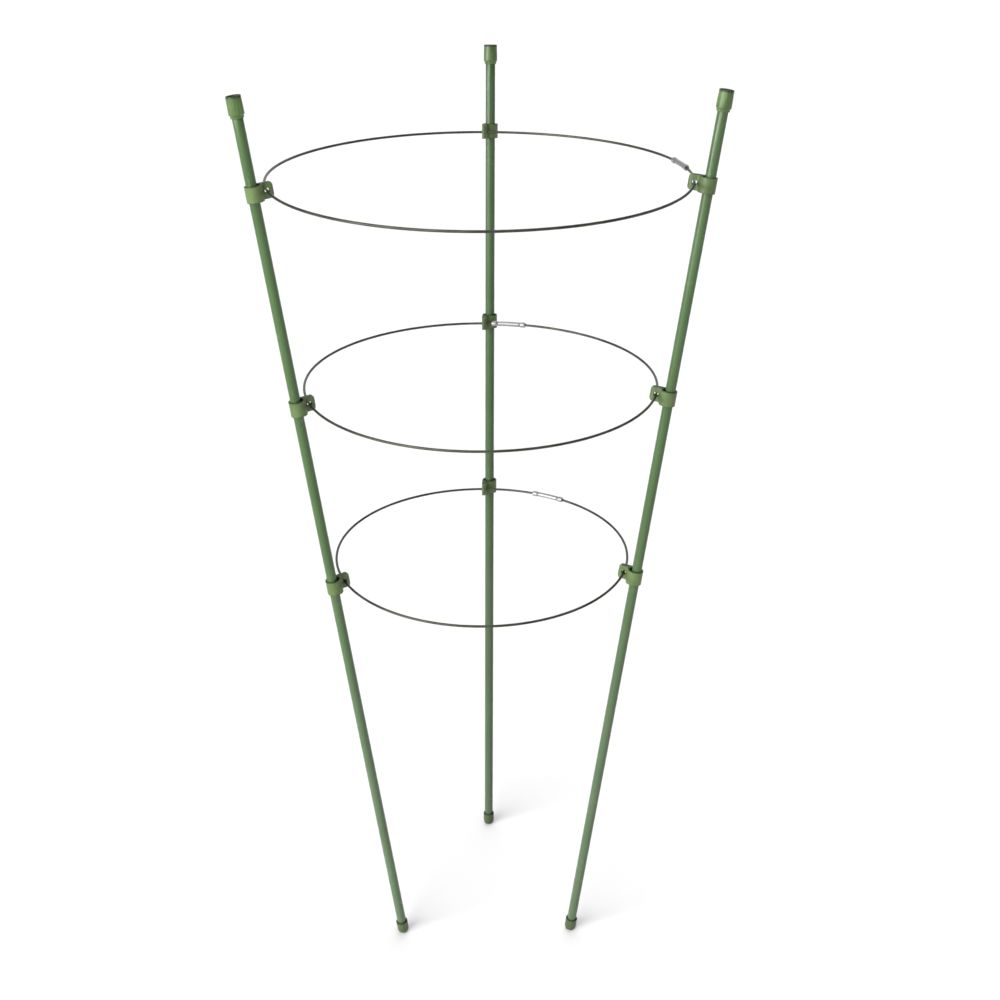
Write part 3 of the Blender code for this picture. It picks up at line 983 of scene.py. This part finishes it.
class SUPPORT_OT_stage(bpy.types.Operator):
    """Set the pale floor, the soft lights and the camera"""

    bl_idname = "plant_support.stage"
    bl_label = "Stage"

    def execute(self, context):
        looks = context.scene.stage_looks
        scene = context.scene
        bpy.ops.object.select_all(action="DESELECT")
        bpy.ops.mesh.primitive_plane_add(size=FLOOR_SIZE, location=(0, 0, -FLOOR_DROP))
        floor = bpy.context.object
        floor.name = "pale_floor"
        bpy.ops.object.transform_apply(location=True)
        floor.data.materials.append(floor_finish(looks.floor_colour))
        scene.world = soft_room(looks.ambient)
        for name, direction in LIGHTS.items():
            soft_light(name + "_light", *direction, getattr(looks, name))
        bpy.ops.object.camera_add(location=CAMERA_PLACE, rotation=CAMERA_TURN)
        camera = bpy.context.object
        camera.name = "photo_camera"
        camera.data.lens = looks.lens
        camera.data.sensor_width = CAMERA_SENSOR
        camera.data.clip_end = CAMERA_REACH
        scene.camera = camera
        scene.view_settings.view_transform = "Standard"
        return {"FINISHED"}


def soft_room(ambient):
    """A world as bright as the floor at the horizon, so that they meet unseen, and dim above."""
    world = bpy.data.worlds.new("soft_room")
    world.use_nodes = True
    nodes = world.node_tree.nodes
    links = world.node_tree.links
    direction = nodes.new("ShaderNodeTexCoord")
    parts = nodes.new("ShaderNodeSeparateXYZ")
    fade = nodes.new("ShaderNodeMapRange")
    fade.interpolation_type = "SMOOTHSTEP"
    for socket, value in zip(fade.inputs[1:5], (*HORIZON, 1.0, ambient)):
        socket.default_value = value
    links.new(direction.outputs["Generated"], parts.inputs[0])
    links.new(parts.outputs["Z"], fade.inputs[0])
    links.new(fade.outputs[0], nodes["Background"].inputs["Strength"])
    nodes["Background"].inputs["Color"].default_value = (1, 1, 1, 1)
    return world


def soft_light(name, azimuth, elevation, spread, strength):
    """An even light from far away. Its azimuth runs from the front to the right, in degrees."""
    level = LIGHT_DISTANCE * math.cos(math.radians(elevation))
    place = (
        level * math.sin(math.radians(azimuth)),
        -level * math.cos(math.radians(azimuth)),
        LIGHT_DISTANCE * math.sin(math.radians(elevation)),
    )
    bpy.ops.object.light_add(type="SUN", location=place)
    light = bpy.context.object
    light.name = name
    light.data.angle = math.radians(spread)
    light.data.energy = strength
    light.rotation_euler = (-Vector(place)).to_track_quat("-Z", "Y").to_euler()


class SUPPORT_PT_panel(bpy.types.Panel):
    """The support's pieces and their sizes and colours"""

    bl_idname = "SUPPORT_PT_panel"
    bl_label = "Plant support"
    bl_space_type = "VIEW_3D"
    bl_region_type = "UI"
    bl_category = "Support"

    def draw(self, context):
        layout = self.layout
        for group, operators in PANEL_ROWS:
            box = layout.box()
            looks = getattr(context.scene, group)
            for name in type(looks).__annotations__:
                box.prop(looks, name)
            for operator in operators:
                box.operator(operator.bl_idname)


PANEL_ROWS = (
    ("stake_looks", (SUPPORT_OT_stake_coats, SUPPORT_OT_top_caps, SUPPORT_OT_foot_caps)),
    ("clip_looks", (SUPPORT_OT_clips,)),
    ("ring_looks", (SUPPORT_OT_rings, SUPPORT_OT_ferrules)),
    ("stage_looks", (SUPPORT_OT_stage,)),
)
GROUPS = {
    "stake_looks": StakeLooks,
    "clip_looks": ClipLooks,
    "ring_looks": RingLooks,
    "stage_looks": StageLooks,
}
CLASSES = (
    *GROUPS.values(),
    SUPPORT_OT_stake_coats,
    SUPPORT_OT_top_caps,
    SUPPORT_OT_foot_caps,
    SUPPORT_OT_clips,
    SUPPORT_OT_rings,
    SUPPORT_OT_ferrules,
    SUPPORT_OT_stage,
    SUPPORT_PT_panel,
)


def register():
    for item in CLASSES:
        bpy.utils.register_class(item)
    for name, group in GROUPS.items():
        setattr(bpy.types.Scene, name, PointerProperty(type=group))


def unregister():
    for name in GROUPS:
        delattr(bpy.types.Scene, name)
    for item in reversed(CLASSES):
        bpy.utils.unregister_class(item)


def main():
    """Build everything on the loaded frame."""
    register()
    bpy.ops.plant_support.stage()
    bpy.ops.plant_support.stake_coats()
    bpy.ops.plant_support.top_caps()
    bpy.ops.plant_support.foot_caps()
    bpy.ops.plant_support.clips()
    bpy.ops.plant_support.rings()
    bpy.ops.plant_support.ferrules()


if __name__ == "__main__":
    main()
